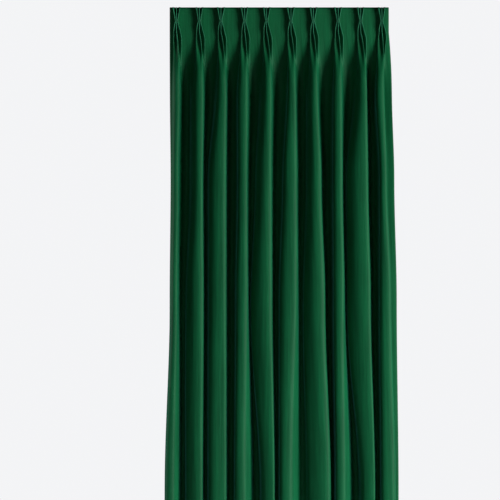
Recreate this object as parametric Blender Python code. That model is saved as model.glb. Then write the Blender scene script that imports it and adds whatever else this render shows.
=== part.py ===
"""Full-length velvet drape with a triple pinch-pleat heading, hanging closed.

Metres, +Z up. The origin is the middle of the heading's top edge; the front of the cloth faces -Y and
+X is to the viewer's right. One hemmed cloth is one solid. Each cross-section of the cloth is a line
from its left side edge to its right one, and keeps the same length at every height below the heading:
what the flat panels and the pleats take up at the top is what the hanging folds take up lower down.
"""
import math

import bpy

for item in list(bpy.data.objects):
    bpy.data.objects.remove(item)

# ---- driving dimensions -------------------------------------------------------------------------
DROP = 2.600
CLOTH_THICK = 0.0010
HEADING_DEEP = 0.110
TACK_DOWN = 0.061
LEFT_EDGE_X = -0.481
RIGHT_EDGE_X = 0.481

FINGER_CLOTH = 0.046
FINGER_TURN = 0.00105
SPREAD_DEPTHS = (0.0, TACK_DOWN, HEADING_DEEP, 0.137)
SPREADS = (0.0160, 0.0042, 0.0180, 0.0245)     # how far the outer fingers' tips stand from the middle
MIDDLE_LEANS = (0.0, 0.0, 0.0005, 0.0030)      # and how far the middle one leans to the right
OPEN_RUN = 0.300              # the depth over which a pleat opens into its fold, across the drape
FORWARD_RUN = 0.210           # and the same forward
PANEL_RUN = 0.360             # and the same for the flat panels between, which hold their place longer
PANEL_SHARE = 0.030           # how far along the cloth the one passes into the other

CREST_BACK = (0.36, 0.022)        # how far a front lies left of its right edge: share of width, most
SOFT_CREST_BACK = (0.58, 0.050)   # the same on a fold whose right side slopes away softly
SIDE_DROPS = (0.45, 0.27)         # how far a fold's left side lies behind its front at each shape level,
MOST_SIDE_DROP = 0.056            # as a share of its width, and at most
EDGE_DROP = (0.28, 0.024)         # the same for its right edge
SOFT_EDGE_DROP = (0.50, 0.040)    # and for a soft right side
SOFT_SLOPE = 50                   # the right slope, in degrees, that counts as fully soft
VALLEY_ROUND = 0.34               # how rounded the bottom of a valley is, as a share of its width
MOST_DEEP = 0.3                   # further back than any valley or margin reaches
MARGIN_TURN = 0.007               # radius where a side margin turns out flat

FOLD_LEVELS = (0.36, 0.76, 1.29, 2.13)
SHAPE_LEVELS = (0.90, 2.00)
# One row for each pleat and its fold, left to right: where the pleat's centre is, and the fold's left side
# and right edge at each fold level.
PLACES = (
    # pleat_x, left_x,                               right_x
    (-0.4517, (-0.4660, -0.4680, -0.4740, -0.4970), (-0.4360, -0.4430, -0.4470, -0.4520)),
    (-0.3513, (-0.3795, -0.3795, -0.4000, -0.3950), (-0.3310, -0.3350, -0.3320, -0.3360)),
    (-0.2567, (-0.2740, -0.3090, -0.3090, -0.3090), (-0.2310, -0.2330, -0.2330, -0.2330)),
    (-0.1525, (-0.1835, -0.1815, -0.1900, -0.1950), (-0.1370, -0.1410, -0.1380, -0.1330)),
    (-0.0561, (-0.0715, -0.0935, -0.1180, -0.0620), (-0.0320, -0.0330, -0.0310, -0.0205)),
    (0.0508, (0.0360, 0.0165, 0.0010, 0.0010), (0.0740, 0.0785, 0.0810, 0.0740)),
    (0.1494, (0.1330, 0.1310, 0.1150, 0.1350), (0.1700, 0.1850, 0.2010, 0.2260)),
    (0.2585, (0.2365, 0.2365, 0.2390, 0.2475), (0.2760, 0.2780, 0.2860, 0.3030)),
    (0.3571, (0.3440, 0.3025, 0.3070, 0.3760), (0.3850, 0.3900, 0.4010, 0.4200)),
    (0.4503, (0.4235, 0.4410, 0.4410, 0.4475), (0.4610, 0.4720, 0.4910, 0.5105)),
)
FINGER_SHARES = (
    # left, right finger's spread at the top against the usual, for each pleat
    (1.00, 1.05), (0.92, 1.05), (1.00, 1.08), (0.98, 0.92), (0.86, 1.10),
    (1.05, 0.95), (0.90, 1.05), (1.04, 0.94), (0.84, 0.98), (1.00, 0.90),
)
# One row for each fold: how far its front stands out; how steeply its left side and its right edge meet
# the next valley, in degrees, at each shape level (past 90 the side is tucked under); and how rounded its
# right edge is there, 1 in full.
SHAPES = (
    # front, left_slope, right_slope, edge_round
    (0.040, (90, 85), (98, 54), (1.0, 1.0)),
    (0.043, (62, 32), (98, 98), (1.0, 0.8)),
    (0.046, (75, 75), (98, 98), (0.9, 0.4)),
    (0.041, (90, 90), (98, 55), (1.0, 1.0)),
    (0.044, (58, 24), (98, 98), (1.0, 0.4)),
    (0.042, (90, 90), (98, 54), (1.0, 1.0)),
    (0.045, (62, 26), (98, 98), (1.0, 0.9)),
    (0.041, (90, 90), (98, 55), (1.0, 1.0)),
    (0.044, (58, 22), (98, 98), (0.6, 0.3)),
    (0.045, (90, 90), (98, 98), (1.0, 1.0)),
)
# The two side edges at each fold level: where they hang, and how far they come forward of the strip
# beside them, as a share of its width.
LEFT_SIDE = ((-0.4810, -0.4780, -0.4820, -0.5040), (-0.45, -0.35, -0.15, 0.0))
RIGHT_SIDE = ((0.4950, 0.5060, 0.5180, 0.5270), (0.35, 0.22, 0.02, 0.0))

# ---- how finely the solid is drawn --------------------------------------------------------------
ROW_DEPTHS = (0.0, TACK_DOWN, HEADING_DEEP, 0.150, 0.208, 0.260, 0.76, 1.29, 1.90, DROP)
PANEL_STEPS = 5           # pieces in the flat panel between two pleats
MARGIN_STEPS = 3          # pieces in the flat panel beside the first and the last
SHARPEST = 0.6            # cosine of half the sharpest turn whose corner keeps the cloth's full thickness
CURVE_STEPS = 14          # pieces in each curved stretch of a fold

PLEAT_CLOTH = 3 * FINGER_CLOTH
BASE_HALF = 6 * FINGER_TURN         # half the width of a pleat where it leaves the flat panel
FINGER_LEG = FINGER_CLOTH / 2
FINGER_DEEP = FINGER_LEG - (math.pi - 2) * FINGER_TURN
TURN_CLOTH = FINGER_TURN * math.pi / 2


# ---- small helpers ------------------------------------------------------------------------------
def mix(a, b, t):
    return a + (b - a) * t


def ease(t):
    t = min(max(t, 0.0), 1.0)
    return t * t * (3.0 - 2.0 * t)


def at_depth(depth, levels, values, shape=ease):
    """The value at a depth, blended between the levels it is given for and steady beyond them."""
    if depth <= levels[0]:
        return values[0]
    for i in range(1, len(levels)):
        if depth <= levels[i]:
            t = (depth - levels[i - 1]) / (levels[i] - levels[i - 1])
            return mix(values[i - 1], values[i], shape(t))
    return values[-1]


def mix_points(a, b, t):
    return mix(a[0], b[0], t), mix(a[1], b[1], t)


def toward(point, angle, distance):
    return point[0] + distance * math.cos(angle), point[1] + distance * math.sin(angle)


def bezier(p0, p1, p2, p3):
    """Points of a cubic curve, without its first."""
    points = []
    for n in range(1, CURVE_STEPS + 1):
        t = n / CURVE_STEPS
        u = 1.0 - t
        a, b, c, d = u * u * u, 3 * u * u * t, 3 * u * t * t, t * t * t
        points.append((a * p0[0] + b * p1[0] + c * p2[0] + d * p3[0],
                       a * p0[1] + b * p1[1] + c * p2[1] + d * p3[1]))
    return points


def length(points):
    return sum(math.dist(a, b) for a, b in zip(points, points[1:]))


def solve(measure, wanted, low, high):
    """The value between low and high at which a growing measure reaches what is wanted."""
    for _ in range(24):
        middle = (low + high) / 2
        if measure(middle) < wanted:
            low = middle
        else:
            high = middle
    return (low + high) / 2


# ---- where each pleat lies in the flat cloth ----------------------------------------------------
def pleat_places():
    """Distance of each pleat's middle from the left side edge, along the flat cloth, and the flat width."""
    places = []
    edge_x = LEFT_EDGE_X
    along = 0.0
    for pleat_x, _, _ in PLACES:
        along += pleat_x - BASE_HALF - edge_x + PLEAT_CLOTH / 2
        places.append(along)
        along += PLEAT_CLOTH / 2
        edge_x = pleat_x + BASE_HALF
    return places, along + RIGHT_EDGE_X - edge_x


PLEAT_AT, FLAT_WIDTH = pleat_places()


# ---- the cloth at the heading: flat panels and three-fingered pleats ----------------------------
def heading_point(along, depth):
    """Place (x, forward) at the heading of a point a distance along the flat cloth."""
    pleat = min(range(len(PLEAT_AT)), key=lambda i: abs(along - PLEAT_AT[i]))
    offset = along - PLEAT_AT[pleat]
    pleat_x = PLACES[pleat][0]
    if abs(offset) >= PLEAT_CLOTH / 2:
        return pleat_x + math.copysign(BASE_HALF + abs(offset) - PLEAT_CLOTH / 2, offset), 0.0
    finger = min(max(round(offset / FINGER_CLOTH), -1), 1)
    from_tip = offset - finger * FINGER_CLOTH
    tip = min(abs(from_tip), TURN_CLOTH) / FINGER_TURN
    root = min(FINGER_LEG - abs(from_tip), TURN_CLOTH) / FINGER_TURN
    aside = FINGER_TURN * (math.sin(tip) + 1.0 - math.sin(root))
    out = min(max(FINGER_LEG - TURN_CLOTH - abs(from_tip), 0.0), FINGER_LEG - 2 * TURN_CLOTH)
    out += FINGER_TURN * (1.0 - math.cos(root) + math.cos(tip))
    tip_lean = at_depth(depth, SPREAD_DEPTHS, MIDDLE_LEANS if finger == 0 else SPREADS, shape=lambda t: t)
    if finger:
        tip_lean *= finger * mix(FINGER_SHARES[pleat][finger > 0], 1.0, min(depth / TACK_DOWN, 1.0))
    root_lean = finger * 4 * FINGER_TURN
    share = out / FINGER_DEEP
    tilt = share * math.atan2(tip_lean - root_lean, FINGER_DEEP)
    aside = math.copysign(aside, from_tip)
    return pleat_x + mix(root_lean, tip_lean, share) + aside * math.cos(tilt), out - aside * math.sin(tilt)


# ---- the cloth below it: hanging folds ----------------------------------------------------------
def share_of(wide, firm, soft, softness):
    """A share of a fold's width, up to its most, between what a firm and a soft fold have."""
    return mix(min(firm[0] * wide, firm[1]), min(soft[0] * wide, soft[1]), softness)


def fold_face(depth, place, shape):
    """The part of a fold that shows, left side to right edge, and the cloth's direction at both."""
    front, left_slopes, right_slopes, edge_rounds = shape
    left_x = at_depth(depth, FOLD_LEVELS, place[1])
    right_x = at_depth(depth, FOLD_LEVELS, place[2])
    left_slope = at_depth(depth, SHAPE_LEVELS, left_slopes)
    right_slope = at_depth(depth, SHAPE_LEVELS, right_slopes)
    edge_round = at_depth(depth, SHAPE_LEVELS, edge_rounds)
    wide = right_x - left_x
    softness = min(max((90 - right_slope) / (90 - SOFT_SLOPE), 0.0), 1.0)
    left_slope, right_slope = math.radians(left_slope), -math.radians(right_slope)
    sloped = math.tan(min(left_slope, math.pi / 3)) / 2
    side_drop = wide * min(at_depth(depth, SHAPE_LEVELS, SIDE_DROPS), sloped)
    left = (left_x, front - min(side_drop, MOST_SIDE_DROP))
    crest = (right_x - edge_round * share_of(wide, CREST_BACK, SOFT_CREST_BACK, softness), front)
    right = (right_x, front - edge_round * share_of(wide, EDGE_DROP, SOFT_EDGE_DROP, softness))
    rise = 0.4 * math.dist(left, crest)
    fall = 0.5 * math.dist(crest, right)
    points = [left]
    points += bezier(left, toward(left, left_slope, rise), toward(crest, math.pi, rise), crest)
    points += bezier(crest, toward(crest, 0.0, fall), toward(right, right_slope + math.pi, fall), right)
    return points, left_slope, right_slope


def valley(start, start_slope, end, end_slope, deep):
    """The cloth that goes back from a fold's right edge, turns, and comes forward to the next fold."""
    bottom = ((start[0] + end[0]) / 2, min(start[1], end[1]) - deep)
    leg = 0.5 * deep
    rounding = VALLEY_ROUND * (end[0] - start[0])
    points = [start]
    points += bezier(start, toward(start, start_slope, leg), toward(bottom, math.pi, rounding), bottom)
    points += bezier(bottom, toward(bottom, 0.0, rounding), toward(end, end_slope + math.pi, leg), end)
    return points


def margin(end, slope, side_x, lean, back):
    """A side margin, from a fold's end back to a strip that lies behind it, out to the side edge."""
    out = math.copysign(1.0, side_x - end[0])
    turn = (toward(end, slope, back - MARGIN_TURN)[0], end[1] - back + MARGIN_TURN)
    flat = (turn[0] + out * MARGIN_TURN, end[1] - back)
    points = [end] + bezier(end, toward(end, slope, 0.3 * back), (turn[0], turn[1] + 0.3 * back), turn)
    half = MARGIN_TURN / 2
    points += bezier(turn, (turn[0], turn[1] - half), (flat[0] - out * half, flat[1]), flat)
    edge = (side_x, flat[1] + lean * abs(side_x - flat[0]))
    return points + [mix_points(flat, edge, n / 6) for n in range(1, 7)]


def fitted_margin(depth, end, slope, side, cloth):
    fixed = (end, slope, at_depth(depth, FOLD_LEVELS, side[0]), at_depth(depth, FOLD_LEVELS, side[1]))
    return margin(*fixed, solve(lambda back: length(margin(*fixed, back)), cloth, 0.01, MOST_DEEP))


def fold_line(depth):
    """The hanging cloth's cross-section: points (along, x, forward) from its left edge to its right."""
    faces = [fold_face(depth, place, shape) for place, shape in zip(PLACES, SHAPES)]
    face, left_slope, _ = faces[0]
    line = fitted_margin(depth, face[0], left_slope + math.pi, LEFT_SIDE, PLEAT_AT[0] - length(face))[::-1]
    line += face[1:]
    for i in range(1, len(faces)):
        face, left_slope, _ = faces[i]
        wanted = PLEAT_AT[i] - PLEAT_AT[i - 1] - length(face)
        ends = (line[-1], faces[i - 1][2], face[0], left_slope)
        deep = solve(lambda d: length(valley(*ends, d)), wanted, 0.0, MOST_DEEP)
        line += valley(*ends, deep)[1:] + face[1:]
    line += fitted_margin(depth, line[-1], faces[-1][2], RIGHT_SIDE, FLAT_WIDTH - PLEAT_AT[-1])[1:]
    along = [0.0]
    for a, b in zip(line, line[1:]):
        along.append(along[-1] + math.dist(a, b))
    return [(s * FLAT_WIDTH / along[-1], x, f) for s, (x, f) in zip(along, line)]


def opened(along, depth):
    """How far the cloth has opened into its fold, 0 in the heading to 1: across the drape, and forward."""
    across = min(max((depth - HEADING_DEEP) / OPEN_RUN, 0.0), 1.0)
    from_pleat = min(abs(along - place) for place in PLEAT_AT)
    panel = ease((from_pleat - PLEAT_CLOTH / 2) / PANEL_SHARE + 1.0)
    return 1.0 - (1.0 - across) ** 2, ease((depth - HEADING_DEEP) / mix(FORWARD_RUN, PANEL_RUN, panel))


def section(depth, columns):
    """The cloth's middle line at one depth: the place (x, forward) of each column."""
    line = fold_line(depth)
    points = []
    for along in columns:
        across, forward = opened(along, depth)
        head = heading_point(along, depth)
        n = 1
        while n < len(line) - 1 and line[n][0] < along:
            n += 1
        a, b = line[n - 1], line[n]
        t = min(max((along - a[0]) / (b[0] - a[0]), 0.0), 1.0)
        points.append((mix(head[0], mix(a[1], b[1], t), across), mix(head[1], mix(a[2], b[2], t), forward)))
    return points


# ---- the solid ----------------------------------------------------------------------------------
def heading_columns():
    """Distances along the flat cloth at which the heading bends, with a few more in each flat panel."""
    columns = [0.0]
    for place in PLEAT_AT:
        start = place - PLEAT_CLOTH / 2
        pieces = PANEL_STEPS if place > PLEAT_AT[0] else MARGIN_STEPS
        columns += [mix(columns[-1], start, n / pieces) for n in range(1, pieces + 1)]
        for finger in (-1, 0, 1):
            tip = place + finger * FINGER_CLOTH
            for side in (-1, 1):
                turns = (FINGER_LEG - TURN_CLOTH, FINGER_LEG / 2, TURN_CLOTH)
                columns += sorted(tip + side * turn for turn in turns)
        columns.append(place + PLEAT_CLOTH / 2)
    last = columns[-1]
    return columns + [mix(last, FLAT_WIDTH, n / MARGIN_STEPS) for n in range(1, MARGIN_STEPS + 1)]


def goes_out(along):
    """Whether the cloth goes out towards a finger's tip here; a finger's two walls are cut alike."""
    offset = along - min(PLEAT_AT, key=lambda place: abs(along - place))
    finger = min(max(round(offset / FINGER_CLOTH), -1), 1)
    return offset < finger * FINGER_CLOTH


def velvet():
    material = bpy.data.materials.new("green_velvet")
    material.use_nodes = True
    shader = material.node_tree.nodes["Principled BSDF"]
    shader.inputs["Base Color"].default_value = (0.004, 0.075, 0.030, 1.0)
    shader.inputs["Roughness"].default_value = 0.85
    shader.inputs["Metallic"].default_value = 0.0
    return material


def both_sides(line):
    """The front and the back of the cloth at one depth: its middle line moved half a thickness each way."""
    turns = [math.atan2(b[1] - a[1], b[0] - a[0]) for a, b in zip(line, line[1:])]
    fronts, backs = [], []
    for n, (x, forward) in enumerate(line):
        before, after = turns[max(n - 1, 0)], turns[min(n, len(turns) - 1)]
        half_turn = math.remainder(after - before, math.tau) / 2
        reach = CLOTH_THICK / 2 / max(math.cos(half_turn), SHARPEST)
        normal = before + half_turn + math.pi / 2
        fronts.append(toward((x, forward), normal, reach))
        backs.append(toward((x, forward), normal, -reach))
    return fronts, backs


def build_drape():
    columns = heading_columns()
    count = len(columns)
    fronts, backs = [], []
    for depth in ROW_DEPTHS:
        front, back = both_sides(section(depth, columns))
        fronts += [(x, -forward, -depth) for x, forward in front]
        backs += [(x, -forward, -depth) for x, forward in back]
    rows = len(ROW_DEPTHS)
    behind = rows * count
    faces = []
    for row in range(rows - 1):
        for n in range(count - 1):
            a = row * count + n
            b, c, d = a + 1, a + count, a + count + 1
            if goes_out((columns[n] + columns[n + 1]) / 2):
                halves = ((a, c, d), (a, d, b))
            else:
                halves = ((a, c, b), (b, c, d))
            for face in halves:
                faces += [face, tuple(behind + v for v in reversed(face))]
    top = list(range(count))
    bottom = [(rows - 1) * count + n for n in range(count)]
    left = [row * count for row in range(rows)]
    right = [row * count + count - 1 for row in range(rows)]
    for edge in (top[::-1], bottom, left, right[::-1]):
        for v, w in zip(edge, edge[1:]):
            faces.append((v, behind + v, behind + w, w))
    mesh = bpy.data.meshes.new("velvet_drape")
    mesh.from_pydata(fronts + backs, [], faces)
    mesh.shade_smooth()
    mesh.materials.append(velvet())
    drape = bpy.data.objects.new("velvet_drape", mesh)
    bpy.context.collection.objects.link(drape)
    return drape


build_drape()
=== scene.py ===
"""Pinch-pleated velvet drape: its fine folds, hems, sewing and finish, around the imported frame.

Metres, +Z up. The top edge of the heading lies at z = 0 and the front of the cloth faces -Y.
"""
import math

import bpy
from mathutils import Matrix, Vector


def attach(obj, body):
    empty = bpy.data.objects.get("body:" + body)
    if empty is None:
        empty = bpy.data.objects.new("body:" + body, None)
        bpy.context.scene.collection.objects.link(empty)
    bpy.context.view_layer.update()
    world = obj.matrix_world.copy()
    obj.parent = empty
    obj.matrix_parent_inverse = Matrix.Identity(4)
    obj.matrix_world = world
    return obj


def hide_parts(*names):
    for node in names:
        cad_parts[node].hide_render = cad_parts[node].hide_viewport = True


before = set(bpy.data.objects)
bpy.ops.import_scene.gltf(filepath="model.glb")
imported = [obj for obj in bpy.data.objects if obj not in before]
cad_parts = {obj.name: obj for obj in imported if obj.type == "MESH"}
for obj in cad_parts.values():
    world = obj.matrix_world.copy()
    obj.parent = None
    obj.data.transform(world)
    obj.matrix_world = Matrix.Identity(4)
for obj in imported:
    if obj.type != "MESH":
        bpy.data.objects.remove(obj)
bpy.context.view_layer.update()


# ---- The velvet cloth ---------------------------------------------------------------------------
# One width of cut-pile velvet, hemmed on all sides. Its top is stiffened and pinched by hand into
# ten triple pleats, each stitched behind and tacked in front; from every pleat a deep fold hangs to
# the floor. Below the heading each cross-section keeps the cloth's own flat width.
DROP = 2.600
CLOTH_THICK = 0.0010
HEADING_DEEP = 0.110
TACK_DOWN = 0.061
LEFT_EDGE_X = -0.481
RIGHT_EDGE_X = 0.481

FINGER_CLOTH = 0.046
FINGER_TURN = 0.00105
SPREAD_DEPTHS = (0.0, TACK_DOWN, HEADING_DEEP, 0.137)
SPREADS = (0.0160, 0.0042, 0.0180, 0.0245)    # how far the outer fingers' tips stand from the middle
MIDDLE_LEANS = (0.0, 0.0, 0.0005, 0.0030)     # and how far the middle one leans to the right
RIDGE_HIGHLIGHT_REACH = 0.0030        # how far from a finger's tip the painted highlight reaches
OPEN_RUN = 0.300              # the depth over which a pleat opens into its fold, across the drape
FORWARD_RUN = 0.210           # and the same forward
PANEL_RUN = 0.360             # and for the flat panels between, which hold their place longer
PANEL_SHARE = 0.030           # how far along the cloth the one passes into the other
LEFT_LOW = 0.45               # how far a left finger stands out where it opens, against the others
SOFT_RUN = (0.120, 0.340)     # the depths between which the pressed creases soften
SOFT_REACH = 0.009            # how far along the cloth they are soft in the end
LEAST_SOFT = 0.00001          # less than this is left crisp
SOFT_WEIGHTS = ((-1.0, 1), (-0.5, 2), (0.0, 3), (0.5, 2), (1.0, 1))    # step along the cloth, weight
DIRECTION_STEP = 0.001        # distance each way along the cloth from which its direction is taken

CREST_BACK = (0.36, 0.022)        # how far a front lies left of its right edge: share of width, most
SOFT_CREST_BACK = (0.58, 0.050)   # the same on a fold whose right side slopes away softly
SIDE_DROPS = (0.45, 0.27)         # how far a left side lies behind the front at each shape level,
MOST_SIDE_DROP = 0.056            # as a share of its width, and at most
EDGE_DROP = (0.28, 0.024)         # the same for its right edge
SOFT_EDGE_DROP = (0.50, 0.040)    # and for a soft right side
SOFT_SLOPE = 50                   # the right slope, in degrees, that counts as fully soft
STEEPEST_SIDE = math.pi / 3       # a left side steeper than this drops no more
FRONT_HOLD = 0.4                  # how far a fold's front keeps the directions of its two ends,
EDGE_HOLD = 0.5                   # as a share of its length, and the same for its right edge
VALLEY_HOLD = 0.5                 # and for a valley, as a share of its depth
MARGIN_HOLD = 0.3                 # and for a side margin
VALLEY_ROUND = 0.34               # how rounded the bottom of a valley is, as a share of its width
MOST_DEEP = 0.3                   # further back than any valley or margin reaches
LEAST_BACK = 0.01                 # nearest that a side margin lies behind its fold
MARGIN_TURN = 0.007               # radius where a side margin turns out flat

FOLD_LEVELS = (0.36, 0.76, 1.29, 2.13)
SHAPE_LEVELS = (0.90, 2.00)
# One row for each pleat and its fold, left to right: where the pleat's centre is, and the fold's
# left side and right edge at each fold level.
PLACES = (
    # pleat_x, left_x,                               right_x
    (-0.4517, (-0.4660, -0.4680, -0.4740, -0.4970), (-0.4360, -0.4430, -0.4470, -0.4520)),
    (-0.3513, (-0.3795, -0.3795, -0.4000, -0.3950), (-0.3310, -0.3350, -0.3320, -0.3360)),
    (-0.2567, (-0.2740, -0.3090, -0.3090, -0.3090), (-0.2310, -0.2330, -0.2330, -0.2330)),
    (-0.1525, (-0.1835, -0.1815, -0.1900, -0.1950), (-0.1370, -0.1410, -0.1380, -0.1330)),
    (-0.0561, (-0.0715, -0.0935, -0.1180, -0.0620), (-0.0320, -0.0330, -0.0310, -0.0205)),
    (0.0508, (0.0360, 0.0165, 0.0010, 0.0010), (0.0740, 0.0785, 0.0810, 0.0740)),
    (0.1494, (0.1330, 0.1310, 0.1150, 0.1350), (0.1700, 0.1850, 0.2010, 0.2260)),
    (0.2585, (0.2365, 0.2365, 0.2390, 0.2475), (0.2760, 0.2780, 0.2860, 0.3030)),
    (0.3571, (0.3440, 0.3025, 0.3070, 0.3760), (0.3850, 0.3900, 0.4010, 0.4200)),
    (0.4503, (0.4235, 0.4410, 0.4410, 0.4475), (0.4610, 0.4720, 0.4910, 0.5105)),
)
FINGER_SHARES = (
    # left, right finger's spread at the top against the usual, for each pleat
    (1.00, 1.05), (0.92, 1.05), (1.00, 1.08), (0.98, 0.92), (0.86, 1.10),
    (1.05, 0.95), (0.90, 1.05), (1.04, 0.94), (0.84, 0.98), (1.00, 0.90),
)
# One row for each fold: how far its front stands out; how steeply its left side and its right edge
# meet the valleys beside it, in degrees, at each shape level (past 90 the side is tucked under); and
# how rounded its right edge is there, 1 in full.
SHAPES = (
    # front, left_slope, right_slope, edge_round
    (0.040, (90, 85), (98, 54), (1.0, 1.0)),
    (0.043, (62, 32), (98, 98), (1.0, 0.8)),
    (0.046, (75, 75), (98, 98), (0.9, 0.4)),
    (0.041, (90, 90), (98, 55), (1.0, 1.0)),
    (0.044, (58, 24), (98, 98), (1.0, 0.4)),
    (0.042, (90, 90), (98, 54), (1.0, 1.0)),
    (0.045, (62, 26), (98, 98), (1.0, 0.9)),
    (0.041, (90, 90), (98, 55), (1.0, 1.0)),
    (0.044, (58, 22), (98, 98), (0.6, 0.3)),
    (0.045, (90, 90), (98, 98), (1.0, 1.0)),
)
# The two side edges at each fold level: where they hang, and how far they come forward of the strip
# beside them, as a share of its width.
LEFT_SIDE = ((-0.4810, -0.4780, -0.4820, -0.5040), (-0.45, -0.35, -0.15, 0.0))
RIGHT_SIDE = ((0.4950, 0.5060, 0.5180, 0.5270), (0.35, 0.22, 0.02, 0.0))

CURVE_STEPS = 20
MARGIN_STEPS = 6
HALVINGS = 24
HALF_PLEAT = 3 * FINGER_CLOTH / 2      # the cloth in one side of a pleat
FINGER_PITCH = 4 * FINGER_TURN         # between two fingers' roots
BASE_HALF = 1.5 * FINGER_PITCH         # half the width of a pleat's three roots
FINGER_LEG = FINGER_CLOTH / 2
FINGER_DEEP = FINGER_LEG - (math.pi - 2) * FINGER_TURN
TURN_CLOTH = FINGER_TURN * math.pi / 2


def mix(a, b, t):
    return a + (b - a) * t


def ease(t):
    t = min(max(t, 0.0), 1.0)
    return t * t * (3.0 - 2.0 * t)


def at_depth(depth, levels, values, shape=ease):
    """The value at a depth, blended between the levels it is given for and steady beyond them."""
    if depth <= levels[0]:
        return values[0]
    for i in range(1, len(levels)):
        if depth <= levels[i]:
            t = (depth - levels[i - 1]) / (levels[i] - levels[i - 1])
            return mix(values[i - 1], values[i], shape(t))
    return values[-1]


def mix_points(a, b, t):
    return mix(a[0], b[0], t), mix(a[1], b[1], t)


def steps(start, end, count):
    return [mix(start, end, n / count) for n in range(1, count + 1)]


def toward(point, angle, distance):
    return point[0] + distance * math.cos(angle), point[1] + distance * math.sin(angle)


def bezier(p0, p1, p2, p3):
    """Points of a cubic curve, without its first."""
    points = []
    for n in range(1, CURVE_STEPS + 1):
        t = n / CURVE_STEPS
        u = 1.0 - t
        a, b, c, d = u * u * u, 3 * u * u * t, 3 * u * t * t, t * t * t
        points.append((a * p0[0] + b * p1[0] + c * p2[0] + d * p3[0],
                       a * p0[1] + b * p1[1] + c * p2[1] + d * p3[1]))
    return points


def length(points):
    return sum(math.dist(a, b) for a, b in zip(points, points[1:]))


def solve(measure, wanted, low, high):
    """The value between low and high at which a growing measure reaches what is wanted."""
    for _ in range(HALVINGS):
        middle = (low + high) / 2
        if measure(middle) < wanted:
            low = middle
        else:
            high = middle
    return (low + high) / 2


def pleat_places():
    """Each pleat's middle, along the flat cloth from its left side edge, and the flat width."""
    places = []
    edge_x = LEFT_EDGE_X
    along = 0.0
    for pleat_x, _, _ in PLACES:
        along += pleat_x - BASE_HALF - edge_x + HALF_PLEAT
        places.append(along)
        along += HALF_PLEAT
        edge_x = pleat_x + BASE_HALF
    return places, along + RIGHT_EDGE_X - edge_x


PLEAT_AT, FLAT_WIDTH = pleat_places()


def heading_point(along, depth):
    """Place (x, forward) at the heading of a point a distance along the flat cloth."""
    pleat = min(range(len(PLEAT_AT)), key=lambda i: abs(along - PLEAT_AT[i]))
    offset = along - PLEAT_AT[pleat]
    pleat_x = PLACES[pleat][0]
    if abs(offset) >= HALF_PLEAT:
        return pleat_x + math.copysign(BASE_HALF + abs(offset) - HALF_PLEAT, offset), 0.0
    finger = min(max(round(offset / FINGER_CLOTH), -1), 1)
    from_tip = offset - finger * FINGER_CLOTH
    tip = min(abs(from_tip), TURN_CLOTH) / FINGER_TURN
    root = min(FINGER_LEG - abs(from_tip), TURN_CLOTH) / FINGER_TURN
    aside = FINGER_TURN * (math.sin(tip) + 1.0 - math.sin(root))
    out = min(max(FINGER_LEG - TURN_CLOTH - abs(from_tip), 0.0), FINGER_LEG - 2 * TURN_CLOTH)
    out += FINGER_TURN * (1.0 - math.cos(root) + math.cos(tip))
    if finger < 0:
        out *= mix(1.0, LEFT_LOW, ease((depth - TACK_DOWN) / (SPREAD_DEPTHS[-1] - TACK_DOWN)))
    leans = SPREADS if finger else MIDDLE_LEANS
    tip_lean = at_depth(depth, SPREAD_DEPTHS, leans, shape=lambda t: t)
    if finger:
        tip_lean *= finger * mix(FINGER_SHARES[pleat][finger > 0], 1.0, min(depth / TACK_DOWN, 1.0))
    root_lean = finger * FINGER_PITCH
    share = out / FINGER_DEEP
    tilt = share * math.atan2(tip_lean - root_lean, FINGER_DEEP)
    aside = math.copysign(aside, from_tip)
    x = pleat_x + mix(root_lean, tip_lean, share) + aside * math.cos(tilt)
    return x, out - aside * math.sin(tilt)


def share_of(wide, firm, soft, softness):
    """A share of a fold's width, up to its most, between what a firm and a soft fold have."""
    return mix(min(firm[0] * wide, firm[1]), min(soft[0] * wide, soft[1]), softness)


def fold_face(depth, place, shape):
    """The part of a fold that shows, left side to right edge, and the cloth's direction at both."""
    _, left_places, right_places = place
    front, left_slopes, right_slopes, edge_rounds = shape
    left_x = at_depth(depth, FOLD_LEVELS, left_places)
    right_x = at_depth(depth, FOLD_LEVELS, right_places)
    left_slope = at_depth(depth, SHAPE_LEVELS, left_slopes)
    right_slope = at_depth(depth, SHAPE_LEVELS, right_slopes)
    edge_round = at_depth(depth, SHAPE_LEVELS, edge_rounds)
    wide = right_x - left_x
    softness = min(max((90 - right_slope) / (90 - SOFT_SLOPE), 0.0), 1.0)
    left_slope, right_slope = math.radians(left_slope), -math.radians(right_slope)
    sloped = math.tan(min(left_slope, STEEPEST_SIDE)) / 2
    side_drop = wide * min(at_depth(depth, SHAPE_LEVELS, SIDE_DROPS), sloped)
    left = (left_x, front - min(side_drop, MOST_SIDE_DROP))
    crest = (right_x - edge_round * share_of(wide, CREST_BACK, SOFT_CREST_BACK, softness), front)
    right = (right_x, front - edge_round * share_of(wide, EDGE_DROP, SOFT_EDGE_DROP, softness))
    rise = FRONT_HOLD * math.dist(left, crest)
    fall = EDGE_HOLD * math.dist(crest, right)
    edge_back = toward(right, right_slope + math.pi, fall)
    points = [left]
    points += bezier(left, toward(left, left_slope, rise), toward(crest, math.pi, rise), crest)
    points += bezier(crest, toward(crest, 0.0, fall), edge_back, right)
    return points, left_slope, right_slope


def valley(start, start_slope, end, end_slope, deep):
    """The cloth that goes back from a fold's right edge, turns, and comes forward to the next."""
    bottom = ((start[0] + end[0]) / 2, min(start[1], end[1]) - deep)
    leg = VALLEY_HOLD * deep
    rounding = VALLEY_ROUND * (end[0] - start[0])
    before, after = toward(bottom, math.pi, rounding), toward(bottom, 0.0, rounding)
    points = [start]
    points += bezier(start, toward(start, start_slope, leg), before, bottom)
    points += bezier(bottom, after, toward(end, end_slope + math.pi, leg), end)
    return points


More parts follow.
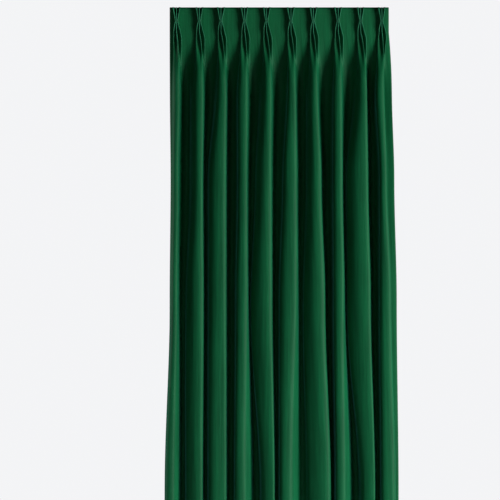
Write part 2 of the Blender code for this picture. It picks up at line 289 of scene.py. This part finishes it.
def margin(end, slope, side_x, lean, back):
    """A side margin, from a fold's end back to a strip that lies behind it, out to the side edge."""
    out = math.copysign(1.0, side_x - end[0])
    turn = (toward(end, slope, back - MARGIN_TURN)[0], end[1] - back + MARGIN_TURN)
    flat = (turn[0] + out * MARGIN_TURN, end[1] - back)
    hold = MARGIN_HOLD * back
    points = [end] + bezier(end, toward(end, slope, hold), (turn[0], turn[1] + hold), turn)
    half = MARGIN_TURN / 2
    points += bezier(turn, (turn[0], turn[1] - half), (flat[0] - out * half, flat[1]), flat)
    edge = (side_x, flat[1] + lean * abs(side_x - flat[0]))
    return points + [mix_points(flat, edge, t) for t in steps(0.0, 1.0, MARGIN_STEPS)]


def fitted_margin(depth, end, slope, side, cloth):
    """The side margin that uses up the cloth there is for it."""
    side_x, lean = (at_depth(depth, FOLD_LEVELS, values) for values in side)
    fixed = (end, slope, side_x, lean)
    back = solve(lambda back: length(margin(*fixed, back)), cloth, LEAST_BACK, MOST_DEEP)
    return margin(*fixed, back)


def fold_line(depth):
    """The hanging cloth's cross-section: points (along, x, forward) from left edge to right."""
    faces = [fold_face(depth, place, shape) for place, shape in zip(PLACES, SHAPES)]
    face, left_slope, _ = faces[0]
    spare = PLEAT_AT[0] - length(face)
    line = fitted_margin(depth, face[0], left_slope + math.pi, LEFT_SIDE, spare)[::-1]
    line += face[1:]
    for i in range(1, len(faces)):
        face, left_slope, _ = faces[i]
        wanted = PLEAT_AT[i] - PLEAT_AT[i - 1] - length(face)
        ends = (line[-1], faces[i - 1][2], face[0], left_slope)
        deep = solve(lambda d: length(valley(*ends, d)), wanted, 0.0, MOST_DEEP)
        line += valley(*ends, deep)[1:] + face[1:]
    spare = FLAT_WIDTH - PLEAT_AT[-1]
    line += fitted_margin(depth, line[-1], faces[-1][2], RIGHT_SIDE, spare)[1:]
    along = [0.0]
    for a, b in zip(line, line[1:]):
        along.append(along[-1] + math.dist(a, b))
    return [(s * FLAT_WIDTH / along[-1], x, f) for s, (x, f) in zip(along, line)]


def pleat_offset(along):
    """Distance along the cloth from the middle of the nearest pleat, less than 0 to its left."""
    return along - min(PLEAT_AT, key=lambda place: abs(along - place))


def opened(along, depth):
    """How far the cloth has opened, 0 in the heading to 1 in its fold: across, and forward."""
    across = min(max((depth - HEADING_DEEP) / OPEN_RUN, 0.0), 1.0)
    panel = ease((abs(pleat_offset(along)) - HALF_PLEAT) / PANEL_SHARE + 1.0)
    forward = ease((depth - HEADING_DEEP) / mix(FORWARD_RUN, PANEL_RUN, panel))
    return 1.0 - (1.0 - across) ** 2, forward


def ridge_highlight_mask(along, depth):
    """Mask of the painted highlight: 1 along the tips of the pleats' fingers, 0 away from them and
    where they open.
    """
    offset = pleat_offset(along)
    from_tip = min(abs(offset - finger * FINGER_CLOTH) for finger in (-1, 0, 1))
    return ease(1.0 - from_tip / RIDGE_HIGHLIGHT_REACH) * (1.0 - opened(along, depth)[1])


class Section:
    """The cloth's middle line at one depth."""

    def __init__(self, depth):
        self.depth = depth
        self.soft = SOFT_REACH * ease((depth - SOFT_RUN[0]) / (SOFT_RUN[1] - SOFT_RUN[0]))
        self.line = fold_line(depth)

    def crisp_point(self, along):
        """Place (x, forward) of a point on the cloth, with the pleats' creases still crisp."""
        along = min(max(along, 0.0), FLAT_WIDTH)
        head = heading_point(along, self.depth)
        low, high = 0, len(self.line) - 1
        while high - low > 1:
            middle = (low + high) // 2
            if self.line[middle][0] <= along:
                low = middle
            else:
                high = middle
        a, b = self.line[low], self.line[high]
        t = (along - a[0]) / (b[0] - a[0])
        across, forward = opened(along, self.depth)
        fold_x, fold_forward = mix(a[1], b[1], t), mix(a[2], b[2], t)
        return mix(head[0], fold_x, across), mix(head[1], fold_forward, forward)

    def soft_point(self, along):
        """The same, averaged a little way along the cloth where the creases have softened."""
        along = min(max(along, 0.0), FLAT_WIDTH)
        reach = min(self.soft, along, FLAT_WIDTH - along)
        if reach < LEAST_SOFT:
            return self.crisp_point(along)
        x = forward = 0.0
        whole = sum(weight for _, weight in SOFT_WEIGHTS)
        for step, weight in SOFT_WEIGHTS:
            near = self.crisp_point(along + step * reach)
            x += weight * near[0] / whole
            forward += weight * near[1] / whole
        return x, forward

    def point(self, along, behind=0.0):
        """Place (x, forward) of a point on the cloth, or just behind it or past its side edge."""
        inside = min(max(along, 0.0), FLAT_WIDTH)
        x, forward = self.soft_point(inside)
        if behind == 0.0 and inside == along:
            return x, forward
        before = self.soft_point(inside - DIRECTION_STEP)
        after = self.soft_point(inside + DIRECTION_STEP)
        span = math.dist(before, after)
        over_x, over_f = (after[0] - before[0]) / span, (after[1] - before[1]) / span
        past = along - inside
        return x + past * over_x + behind * over_f, forward + past * over_f - behind * over_x


# The mesh rows' depths, closest together where the pleats open, and about how much cloth goes with a
# pleat on each side of its middle, which the mesh columns are spaced for.
ROWS = [0.0] + steps(0.0, 0.14, 14) + steps(0.14, 0.42, 24) + steps(0.42, DROP, 55)
HALF_PITCH = 0.110


def half_columns():
    """Mesh columns' distances from a pleat's middle: as pleated, and hanging to its left and right.

    The turns at the fingers' tips and roots are drawn closely; each leg between has a column or two.
    """
    turn = TURN_CLOTH
    pleated = [turn / 2, turn, 0.007, 0.014]
    root, tip, base = FINGER_LEG, FINGER_CLOTH, HALF_PLEAT
    pleated += [root - turn, root - turn / 2, root, root + turn / 2, root + turn, 0.034]
    pleated += [tip - turn, tip - turn / 2, tip, tip + turn / 2, tip + turn, 0.0575]
    pleated += [base - turn, base - turn / 2, base] + steps(base, HALF_PITCH, 5)
    left = steps(0.0, 0.030, 12) + steps(0.030, HALF_PITCH, 12)
    right = steps(0.0, 0.012, 5) + steps(0.012, HALF_PITCH, 19)
    return pleated, left, right


def fitted(distance, reach):
    """A pleated column's distance, the flat part beyond the pleat spaced to end at its reach."""
    if distance <= HALF_PLEAT:
        return distance
    return mix(HALF_PLEAT, reach, (distance - HALF_PLEAT) / (HALF_PITCH - HALF_PLEAT))


def columns():
    """For each mesh column, its distance along the cloth in the heading and in the hanging folds."""
    pleated, left, right = half_columns()
    result = [(0.0, 0.0)]
    for i, place in enumerate(PLEAT_AT):
        before = place - (PLEAT_AT[i - 1] + place) / 2 if i else place
        after = FLAT_WIDTH - place
        if i + 1 < len(PLEAT_AT):
            after = (PLEAT_AT[i + 1] + place) / 2 - place
        for k in reversed(range(len(pleated) - 1)):
            hanging = place - left[k] * before / HALF_PITCH
            result.append((place - fitted(pleated[k], before), hanging))
        result.append((place, place))
        for k in range(len(pleated)):
            hanging = place + right[k] * after / HALF_PITCH
            result.append((place + fitted(pleated[k], after), hanging))
    return result


def cloth_sheet(name, columns_at, rows_at, even=True):
    """A flat piece of cloth, its vertices then moved to where it hangs.

    Each column has its distances along the cloth, pleated and hanging, and how far behind it lies;
    each row has its section and how far behind it lies.
    """
    bpy.ops.object.select_all(action="DESELECT")
    bpy.ops.mesh.primitive_grid_add(
        x_subdivisions=len(columns_at) - 1, y_subdivisions=len(rows_at) - 1)
    sheet = bpy.context.object
    sheet.name = name
    mesh = sheet.data
    mesh.uv_layers.active.name = "flat_cloth"
    flats, ridge_highlights = [], []
    for n, vertex in enumerate(mesh.vertices):
        section, row_behind = rows_at[-1 - n // len(columns_at)]
        pleated, hanging, column_behind = columns_at[n % len(columns_at)]
        along = mix(pleated, hanging, ease((section.depth - HEADING_DEEP) / FORWARD_RUN))
        x, forward = section.point(along, row_behind + column_behind)
        vertex.co = (x, -forward, -section.depth)
        flats.append((along, -section.depth))
        # the mask of the painted highlight along the fingers' tips
        ridge_highlights.append(ridge_highlight_mask(along, section.depth))
    for loop in mesh.loops:
        mesh.uv_layers.active.data[loop.index].uv = flats[loop.vertex_index]
    mesh.attributes.new("painted_ridge_highlight", "FLOAT", "POINT").data.foreach_set("value", ridge_highlights)
    mesh.shade_smooth()
    thick = sheet.modifiers.new("thickness", "SOLIDIFY")
    thick.thickness = CLOTH_THICK
    thick.offset = 0.0
    thick.use_even_offset = even
    thick.material_offset = 1
    bpy.ops.object.modifier_apply(modifier=thick.name)
    return sheet


SECTIONS = [Section(depth) for depth in ROWS]
COLUMNS = [(*pair, 0.0) for pair in columns()]
drape = cloth_sheet("velvet_cloth", COLUMNS, [(section, 0.0) for section in SECTIONS])


def new_group(name, inputs, outputs):
    """An empty node group with its sockets, and its two end nodes."""
    group = bpy.data.node_groups.new(name, "ShaderNodeTree")
    for label, kind, value in inputs:
        socket = group.interface.new_socket(name=label, in_out="INPUT", socket_type=kind)
        if value is not None:
            socket.default_value = value
    for label, kind in outputs:
        group.interface.new_socket(name=label, in_out="OUTPUT", socket_type=kind)
    return group, group.nodes.new("NodeGroupInput"), group.nodes.new("NodeGroupOutput")


def math_node(nodes, operation, value=0.0):
    node = nodes.new("ShaderNodeMath")
    node.operation = operation
    node.inputs[1].default_value = value
    return node


def swing(nodes, links, detail, amount):
    """A noise of scale 1, and how far it takes a tone either way: by half an amount at most."""
    noise = nodes.new("ShaderNodeTexNoise")
    noise.inputs["Scale"].default_value = 1.0
    noise.inputs["Detail"].default_value = detail
    centred = math_node(nodes, "SUBTRACT", 0.5)
    scaled = math_node(nodes, "MULTIPLY")
    links.new(noise.outputs["Fac"], centred.inputs[0])
    links.new(centred.outputs[0], scaled.inputs[0])
    links.new(amount, scaled.inputs[1])
    return noise, scaled.outputs[0]


def fibre_group():
    """Fine fibres, tufts of pile or fuzz of a size, as a tone about 1 and a height."""
    group, start, end = new_group(
        "fibre_grain",
        (("Place", "NodeSocketVector", None), ("Tufts per metre", "NodeSocketFloat", 900.0),
         ("Contrast", "NodeSocketFloat", 0.3)),
        (("Tone", "NodeSocketFloat"), ("Height", "NodeSocketFloat")))
    nodes, links = group.nodes, group.links
    tufts, varied = swing(nodes, links, 3.0, start.outputs["Contrast"])
    links.new(start.outputs["Place"], tufts.inputs["Vector"])
    links.new(start.outputs["Tufts per metre"], tufts.inputs["Scale"])
    tone = math_node(nodes, "ADD", 1.0)
    links.new(varied, tone.inputs[0])
    links.new(tone.outputs[0], end.inputs["Tone"])
    links.new(tufts.outputs["Fac"], end.inputs["Height"])
    return group


PATCHES_PER_METRE = (9.0, 3.5, 1.0)      # across the cloth, down it, and for the third direction
STREAKS_PER_METRE = (75.0, 3.2, 1.0)


def brushed_group():
    """How the pile lies, in broad patches and long streaks, as a tone about 1 and a height."""
    group, start, end = new_group(
        "brushed_pile",
        (("Place", "NodeSocketVector", None), ("Patches", "NodeSocketFloat", 0.3),
         ("Streaks", "NodeSocketFloat", 0.3)),
        (("Tone", "NodeSocketFloat"), ("Height", "NodeSocketFloat")))
    nodes, links = group.nodes, group.links
    both = math_node(nodes, "ADD")
    tone = math_node(nodes, "ADD", 1.0)
    kinds = (("Patches", PATCHES_PER_METRE, 2.0), ("Streaks", STREAKS_PER_METRE, 3.0))
    for (label, per_metre, detail), total in zip(kinds, both.inputs):
        scaling = nodes.new("ShaderNodeMapping")
        scaling.inputs["Scale"].default_value = per_metre
        noise, varied = swing(nodes, links, detail, start.outputs[label])
        links.new(start.outputs["Place"], scaling.inputs["Vector"])
        links.new(scaling.outputs["Vector"], noise.inputs["Vector"])
        links.new(varied, total)
    links.new(both.outputs[0], tone.inputs[0])
    links.new(tone.outputs[0], end.inputs["Tone"])
    links.new(noise.outputs["Fac"], end.inputs["Height"])
    return group


FIBRE_GRAIN = fibre_group()
BRUSHED_PILE = brushed_group()


def placed(nodes, group, **values):
    node = nodes.new("ShaderNodeGroup")
    node.node_tree = group
    for label, value in values.items():
        node.inputs[label.replace("_", " ")].default_value = value
    return node


def toned(nodes, links, color, *tones):
    """A colour multiplied by tones that vary over the cloth."""
    for tone in tones:
        scaling = nodes.new("ShaderNodeVectorMath")
        scaling.operation = "SCALE"
        links.new(color, scaling.inputs[0])
        links.new(tone, scaling.inputs["Scale"])
        color = scaling.outputs[0]
    return color


def two_tone(nodes, links, share, low, high):
    """A colour between two, by a share."""
    tone = nodes.new("ShaderNodeMix")
    tone.data_type = "RGBA"
    factor, first, second, mixed = tone.inputs[0], tone.inputs[6], tone.inputs[7], tone.outputs[2]
    first.default_value = low
    second.default_value = high
    links.new(share, factor)
    return mixed


def bump(nodes, links, height, distance, strength, under=None):
    node = nodes.new("ShaderNodeBump")
    node.inputs["Distance"].default_value = distance
    node.inputs["Strength"].default_value = strength
    links.new(height, node.inputs["Height"])
    if under is not None:
        links.new(under, node.inputs["Normal"])
    return node.outputs["Normal"]


def velvet_material():
    """The green pile: deep, brushed in patches and streaks, and painted paler along the fingers'
    tips as a highlight.
    """
    material = bpy.data.materials.new("green_velvet_pile")
    material.use_nodes = True
    nodes, links = material.node_tree.nodes, material.node_tree.links
    shader = nodes["Principled BSDF"]
    flat = nodes.new("ShaderNodeUVMap")
    flat.uv_map = "flat_cloth"
    grain = placed(nodes, FIBRE_GRAIN, Tufts_per_metre=900.0, Contrast=0.55)
    brushed = placed(nodes, BRUSHED_PILE, Patches=0.45, Streaks=0.75)
    links.new(flat.outputs["UV"], grain.inputs["Place"])
    links.new(flat.outputs["UV"], brushed.inputs["Place"])
    # Painted highlight: this mask makes the pile's colour paler along the fingers' tips, standing in
    # for the light their ridges catch.
    edge = nodes.new("ShaderNodeAttribute")
    edge.attribute_name = "painted_ridge_highlight"
    pile = two_tone(nodes, links, edge.outputs["Fac"],
                    low=(0.0010, 0.078, 0.026, 1.0), high=(0.018, 0.165, 0.080, 1.0))
    color = toned(nodes, links, pile, grain.outputs["Tone"], brushed.outputs["Tone"])
    links.new(color, shader.inputs["Base Color"])
    lie = bump(nodes, links, brushed.outputs["Height"], distance=0.0030, strength=0.5)
    tufts = bump(nodes, links, grain.outputs["Height"], distance=0.0004, strength=0.5, under=lie)
    links.new(tufts, shader.inputs["Normal"])
    shader.inputs["Roughness"].default_value = 0.60
    shader.inputs["Specular IOR Level"].default_value = 0.12
    shader.inputs["Sheen Weight"].default_value = 0.28
    shader.inputs["Sheen Roughness"].default_value = 0.30
    shader.inputs["Sheen Tint"].default_value = (0.22, 1.0, 0.95, 1.0)
    return material


THREADS_PER_METRE = 900.0
WAVES_PER_SCALE = 10.0 / math.pi     # bands a metre that a wave texture draws at scale 1


def back_material():
    """The woven back of the velvet: warp and weft threads crossing, a little fuzzy."""
    material = bpy.data.materials.new("woven_back")
    material.use_nodes = True
    nodes, links = material.node_tree.nodes, material.node_tree.links
    shader = nodes["Principled BSDF"]
    flat = nodes.new("ShaderNodeUVMap")
    flat.uv_map = "flat_cloth"
    fuzz = placed(nodes, FIBRE_GRAIN, Tufts_per_metre=500.0, Contrast=0.5)
    links.new(flat.outputs["UV"], fuzz.inputs["Place"])
    threads = []
    for direction in ("X", "Y"):
        wave = nodes.new("ShaderNodeTexWave")
        wave.bands_direction = direction
        wave.inputs["Scale"].default_value = THREADS_PER_METRE / WAVES_PER_SCALE
        links.new(flat.outputs["UV"], wave.inputs["Vector"])
        threads.append(wave)
    weave = math_node(nodes, "MULTIPLY")
    links.new(threads[0].outputs["Fac"], weave.inputs[0])
    links.new(threads[1].outputs["Fac"], weave.inputs[1])
    yarn = two_tone(nodes, links, weave.outputs[0],
                    low=(0.006, 0.052, 0.024, 1.0), high=(0.013, 0.094, 0.046, 1.0))
    links.new(toned(nodes, links, yarn, fuzz.outputs["Tone"]), shader.inputs["Base Color"])
    ribs = bump(nodes, links, weave.outputs[0], distance=0.0003, strength=0.7)
    links.new(ribs, shader.inputs["Normal"])
    shader.inputs["Roughness"].default_value = 0.9
    shader.inputs["Specular IOR Level"].default_value = 0.15
    return material


VELVET = velvet_material()
WOVEN_BACK = back_material()
drape.data.materials.append(VELVET)
drape.data.materials.append(WOVEN_BACK)
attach(drape, "root")
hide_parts("velvet_drape")


# ---- Hems and heading turning -------------------------------------------------------------------
# The same cloth, turned to the back: a deep hem at the foot, a narrow one down each side, and the
# turning behind the heading, which stiffens the flat panels between the pleats.
HEM_DEEP = 0.100
SIDE_HEM = 0.030
TURNING_DEEP = 0.108
FOLD_RADIUS = 0.0007      # where the cloth turns over, so the layer behind lies twice this far back
FOLD_STEPS = 6
PANEL_STEPS = 8


def turned_edge(deep, count):
    """Distances past an edge and behind the cloth, round the edge's fold and back over a depth."""
    turns = [math.pi * n / FOLD_STEPS for n in range(FOLD_STEPS + 1)]
    round_fold = [(FOLD_RADIUS * math.sin(a), FOLD_RADIUS * (1.0 - math.cos(a))) for a in turns]
    return round_fold + [(-step, 2 * FOLD_RADIUS) for step in steps(0.0, deep, count)]


def side_hems():
    rows = [(section, 0.0) for section in SECTIONS if section.depth < DROP - HEM_DEEP]
    path = turned_edge(SIDE_HEM, 4)
    left = [(-past, -past, behind) for past, behind in path]
    right = [(FLAT_WIDTH + past, FLAT_WIDTH + past, behind) for past, behind in reversed(path)]
    return [cloth_sheet("left_hem", left, rows, even=False),
            cloth_sheet("right_hem", right, rows, even=False)]


def foot_hem():
    rows = [(Section(DROP + past), behind) for past, behind in reversed(turned_edge(HEM_DEEP, 5))]
    return cloth_sheet("foot_hem", COLUMNS, rows, even=False)


def flat_panels(from_edge, from_pleat):
    """Where each flat panel of the heading starts and ends, less what is left free at its ends."""
    ends = [from_edge]
    for place in PLEAT_AT:
        ends += [place - HALF_PLEAT - from_pleat, place + HALF_PLEAT + from_pleat]
    ends.append(FLAT_WIDTH - from_edge)
    return list(zip(ends[::2], ends[1::2]))


def heading_turnings():
    """The turning behind each flat panel, which stops at the pleats; all are joined in one piece."""
    rows = [(Section(-past), behind) for past, behind in turned_edge(TURNING_DEEP, 5)]
    turnings = []
    for start, end in flat_panels(0.0, 0.0):
        across = [(along, along, 0.0) for along in [start] + steps(start, end, PANEL_STEPS)]
        turnings.append(cloth_sheet("turning", across, rows, even=False))
    for turning in turnings:
        turning.select_set(True)
    bpy.ops.object.join()
    joined = bpy.context.object
    joined.name = "heading_turning"
    return joined


HEMS = side_hems() + [foot_hem(), heading_turnings()]
for hem in HEMS:
    hem.data.materials.clear()
    hem.data.materials.append(WOVEN_BACK)
    hem.data.materials.append(VELVET)
    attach(hem, "root")
    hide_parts("velvet_drape")


# ---- Sewing -------------------------------------------------------------------------------------
# Strong polyester thread, dyed a little darker than the pile: two machine rows along the heading,
# a seam down the back of each pleat, a tack where its fingers are pinched, and hand stitches at
# the hems.
THREAD_THICK = 0.0005
HEADING_ROWS = (0.009, 0.027)      # how far down the two rows run
ROW_FROM_EDGE = 0.004              # how far a row stops from a side edge
ROW_FROM_PLEAT = 0.002             # and from a pleat
MACHINE_PITCH = 0.0032
MACHINE_LONG = 0.8 * MACHINE_PITCH
SEAM_PITCH = 0.0045
SEAM_LONG = 0.95 * SEAM_PITCH
SEAM_SLANT = 0.25                  # how far a seam stitch leans, to either side in turn
HAND_PITCH = 0.012
HAND_LONG = 0.0034
HAND_STEP = 0.002                  # how far a hand stitch goes past a hem, and as far up the cloth
OUTSIDE = CLOTH_THICK / 2 + 0.2 * THREAD_THICK     # from the cloth's middle to a stitch's middle
BEHIND_HEM = OUTSIDE + 2 * FOLD_RADIUS             # the same on the layer turned behind
PLIES_PER_METRE = 1600.0


def thread_material():
    material = bpy.data.materials.new("sewing_thread")
    material.use_nodes = True
    nodes, links = material.node_tree.nodes, material.node_tree.links
    shader = nodes["Principled BSDF"]
    place = nodes.new("ShaderNodeTexCoord")
    fuzz = placed(nodes, FIBRE_GRAIN, Tufts_per_metre=2500.0, Contrast=0.6)
    links.new(place.outputs["Object"], fuzz.inputs["Place"])
    plies = nodes.new("ShaderNodeTexWave")
    plies.bands_direction = "DIAGONAL"
    plies.inputs["Scale"].default_value = PLIES_PER_METRE / WAVES_PER_SCALE
    links.new(place.outputs["Object"], plies.inputs["Vector"])
    dyed = two_tone(nodes, links, plies.outputs["Fac"],
                    low=(0.003, 0.036, 0.016, 1.0), high=(0.010, 0.090, 0.042, 1.0))
    links.new(toned(nodes, links, dyed, fuzz.outputs["Tone"]), shader.inputs["Base Color"])
    twist = bump(nodes, links, plies.outputs["Fac"], distance=0.0001, strength=0.6)
    links.new(twist, shader.inputs["Normal"])
    shader.inputs["Roughness"].default_value = 0.55
    return material


THREAD = thread_material()


def sewn(name, stitches):
    """Many stitches in one mesh: a rounded one, copied to each place, direction and length."""
    bpy.ops.object.select_all(action="DESELECT")
    bpy.ops.mesh.primitive_uv_sphere_add(segments=6, ring_count=4, radius=0.5)
    pattern = bpy.context.object
    copies = []
    for middle, direction, long in stitches:
        turn = Vector(direction).to_track_quat("Z", "Y").to_matrix().to_4x4()
        copy = pattern.copy()
        copy.data = pattern.data.copy()
        scale = Matrix.Diagonal((THREAD_THICK, THREAD_THICK, long, 1.0))
        copy.data.transform(Matrix.Translation(middle) @ turn @ scale)
        bpy.context.collection.objects.link(copy)
        copies.append(copy)
    bpy.data.objects.remove(pattern)
    bpy.ops.object.select_all(action="DESELECT")
    for copy in copies:
        copy.select_set(True)
    bpy.context.view_layer.objects.active = copies[0]
    bpy.ops.object.join()
    row = bpy.context.object
    row.name = name
    row.data.shade_smooth()
    return row


def on_cloth(section, along, behind):
    x, forward = section.point(along, behind)
    return Vector((x, -forward, -section.depth))


def heading_rows():
    """Machine stitches through both layers of each flat panel, which show in front and behind."""
    stitches = []
    for depth in HEADING_ROWS:
        section = Section(depth)
        for start, end in flat_panels(ROW_FROM_EDGE, ROW_FROM_PLEAT):
            count = int((end - start) / MACHINE_PITCH)
            for n in range(count):
                along = mix(start, end, (n + 0.5) / count)
                for behind in (-OUTSIDE, BEHIND_HEM):
                    middle = on_cloth(section, along, behind)
                    stitches.append((middle, (1.0, 0.0, 0.0), MACHINE_LONG))
    return sewn("heading_rows", stitches)


def pleat_seams():
    """The seam that closes each pleat, seen at the back where its cloth leaves the flat panels."""
    count = int(HEADING_DEEP / SEAM_PITCH)
    stitches = []
    for pleat_x, _, _ in PLACES:
        for n in range(count):
            middle = (pleat_x, OUTSIDE, -(n + 0.5) * SEAM_PITCH)
            slant = SEAM_SLANT if n % 2 else -SEAM_SLANT
            stitches.append((middle, (slant, 0.0, 1.0), SEAM_LONG))
    return sewn("pleat_seams", stitches)


def hand_stitch(section, along, aside):
    """One slanting stitch, from the edge of a hem to the cloth beside it."""
    near, far = on_cloth(section, along, BEHIND_HEM), on_cloth(section, along + aside, OUTSIDE)
    far.z += HAND_STEP
    return (near + far) / 2, far - near, HAND_LONG


def hem_stitches():
    foot = Section(DROP - HEM_DEEP)
    count = int(FLAT_WIDTH / HAND_PITCH)
    stitches = [hand_stitch(foot, FLAT_WIDTH * n / count, HAND_STEP) for n in range(1, count)]
    count = int((DROP - HEM_DEEP - HEADING_DEEP) / HAND_PITCH)
    for n in range(1, count):
        section = Section(mix(HEADING_DEEP, DROP - HEM_DEEP, n / count))
        stitches.append(hand_stitch(section, SIDE_HEM, HAND_STEP))
        stitches.append(hand_stitch(section, FLAT_WIDTH - SIDE_HEM, -HAND_STEP))
    return sewn("hem_stitches", stitches)


TACK_WRAPS = 6
TACK_SPACING = 1.1                 # from one wrap to the next, against the thread's thickness
TACK_SLANT = 0.0006                # how far a wrap rises or falls to either side, in turn
TACK_HALF = 0.0068                 # half the width of a tack across the three pinched fingers
# The path of one wrap: across from the pleat's middle, and forward of the fingers' tips.
TACK_PATH = (
    (-TACK_HALF, -0.006), (-TACK_HALF, -0.0015), (-0.0045, 0.0002), (0.0, 0.0004),
    (0.0045, 0.0002), (TACK_HALF, -0.0015), (TACK_HALF, -0.006),
)


def tacks():
    """Thread wound round each pleat's three fingers where they are pinched together."""
    front = FINGER_DEEP + OUTSIDE
    bpy.ops.object.select_all(action="DESELECT")
    tubes = []
    for pleat_x, _, _ in PLACES:
        for n in range(TACK_WRAPS):
            depth = TACK_DOWN + (n - (TACK_WRAPS - 1) / 2) * THREAD_THICK * TACK_SPACING
            slant = TACK_SLANT if n % 2 else -TACK_SLANT
            path = bpy.data.curves.new("tack", "CURVE")
            path.dimensions = "3D"
            path.bevel_depth = THREAD_THICK / 2
            path.bevel_resolution = 1
            path.resolution_u = 4
            path.use_fill_caps = True
            spline = path.splines.new("NURBS")
            spline.points.add(len(TACK_PATH) - 1)
            spline.use_endpoint_u = True
            spline.order_u = 3
            for point, (x, forward) in zip(spline.points, TACK_PATH):
                up = -depth + slant * x / TACK_HALF
                point.co = (pleat_x + x, -(front + forward), up, 1.0)
            tube = bpy.data.objects.new("tack", path)
            bpy.context.collection.objects.link(tube)
            tube.select_set(True)
            tubes.append(tube)
    bpy.context.view_layer.objects.active = tubes[0]
    bpy.ops.object.convert(target="MESH")
    bpy.ops.object.join()
    joined = bpy.context.object
    joined.name = "tacks"
    joined.data.shade_smooth()
    return joined


for sewing in (heading_rows(), pleat_seams(), hem_stitches(), tacks()):
    sewing.data.materials.clear()
    sewing.data.materials.append(THREAD)
    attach(sewing, "root")
    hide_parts("velvet_drape")


# ---- Floor, light and camera --------------------------------------------------------------------
# A pale floor under a pale backdrop, soft studio light mostly from the right, with a weaker one for
# the back, and a camera that looks straight at the upper part of the drape.
FLOOR_GAP = 0.012
FLOOR_SIZE = 6.0
BACKDROP_GLOW = 0.012               # the light it gives the cloth; it shows at full strength
VIEW_CENTRE = (-0.1287, -1.0666)    # the middle of the view, across and up
VIEW_SIZE = 2.200                   # width and height of the view at the heading
VIEW_FROM = 10.0

bpy.ops.object.select_all(action="DESELECT")
bpy.ops.mesh.primitive_plane_add(size=FLOOR_SIZE, location=(0.0, 0.0, -DROP - FLOOR_GAP))
plane = bpy.context.object
plane.name = "floor"
paint = bpy.data.materials.new("floor_paint")
paint.use_nodes = True
paint.node_tree.nodes["Principled BSDF"].inputs["Base Color"].default_value = (0.8, 0.8, 0.8, 1.0)
paint.node_tree.nodes["Principled BSDF"].inputs["Roughness"].default_value = 0.9
plane.data.materials.append(paint)


def area_light(name, location, target, size, power):
    light = bpy.data.lights.new(name, "AREA")
    light.shape = "RECTANGLE"
    light.size, light.size_y = size
    light.energy = power
    lamp = bpy.data.objects.new(name, light)
    bpy.context.collection.objects.link(lamp)
    lamp.location = location
    aim = Vector(target) - Vector(location)
    lamp.rotation_euler = aim.to_track_quat("-Z", "Y").to_euler()


area_light("key", (4.9, -3.5, -1.5), (0.0, 0.0, -1.3), (2.6, 2.6), 590.0)
area_light("fill", (-1.4, -5.0, -0.6), (0.0, 0.0, -1.2), (2.5, 2.5), 18.0)
area_light("window", (-2.4, 0.25, -0.8), (-0.4, 0.0, -0.8), (0.5, 2.2), 35.0)
area_light("back", (1.6, 5.5, 0.6), (0.0, 0.0, -1.2), (2.5, 2.5), 240.0)

world = bpy.data.worlds.new("studio")
world.use_nodes = True
backdrop = world.node_tree.nodes["Background"]
backdrop.inputs["Color"].default_value = (0.90, 0.905, 0.92, 1.0)
glow = math_node(world.node_tree.nodes, "MAXIMUM", BACKDROP_GLOW)
seen = world.node_tree.nodes.new("ShaderNodeLightPath")
world.node_tree.links.new(seen.outputs["Is Camera Ray"], glow.inputs[0])
world.node_tree.links.new(glow.outputs[0], backdrop.inputs["Strength"])
bpy.context.scene.world = world

lens = bpy.data.cameras.new("camera")
lens.sensor_width = 36.0
lens.lens = lens.sensor_width * VIEW_FROM / VIEW_SIZE
camera = bpy.data.objects.new("camera", lens)
bpy.context.collection.objects.link(camera)
camera.location = (VIEW_CENTRE[0], -VIEW_FROM, VIEW_CENTRE[1])
camera.rotation_euler = (math.pi / 2, 0.0, 0.0)
bpy.context.scene.camera = camera
bpy.context.scene.view_settings.view_transform = "Standard"
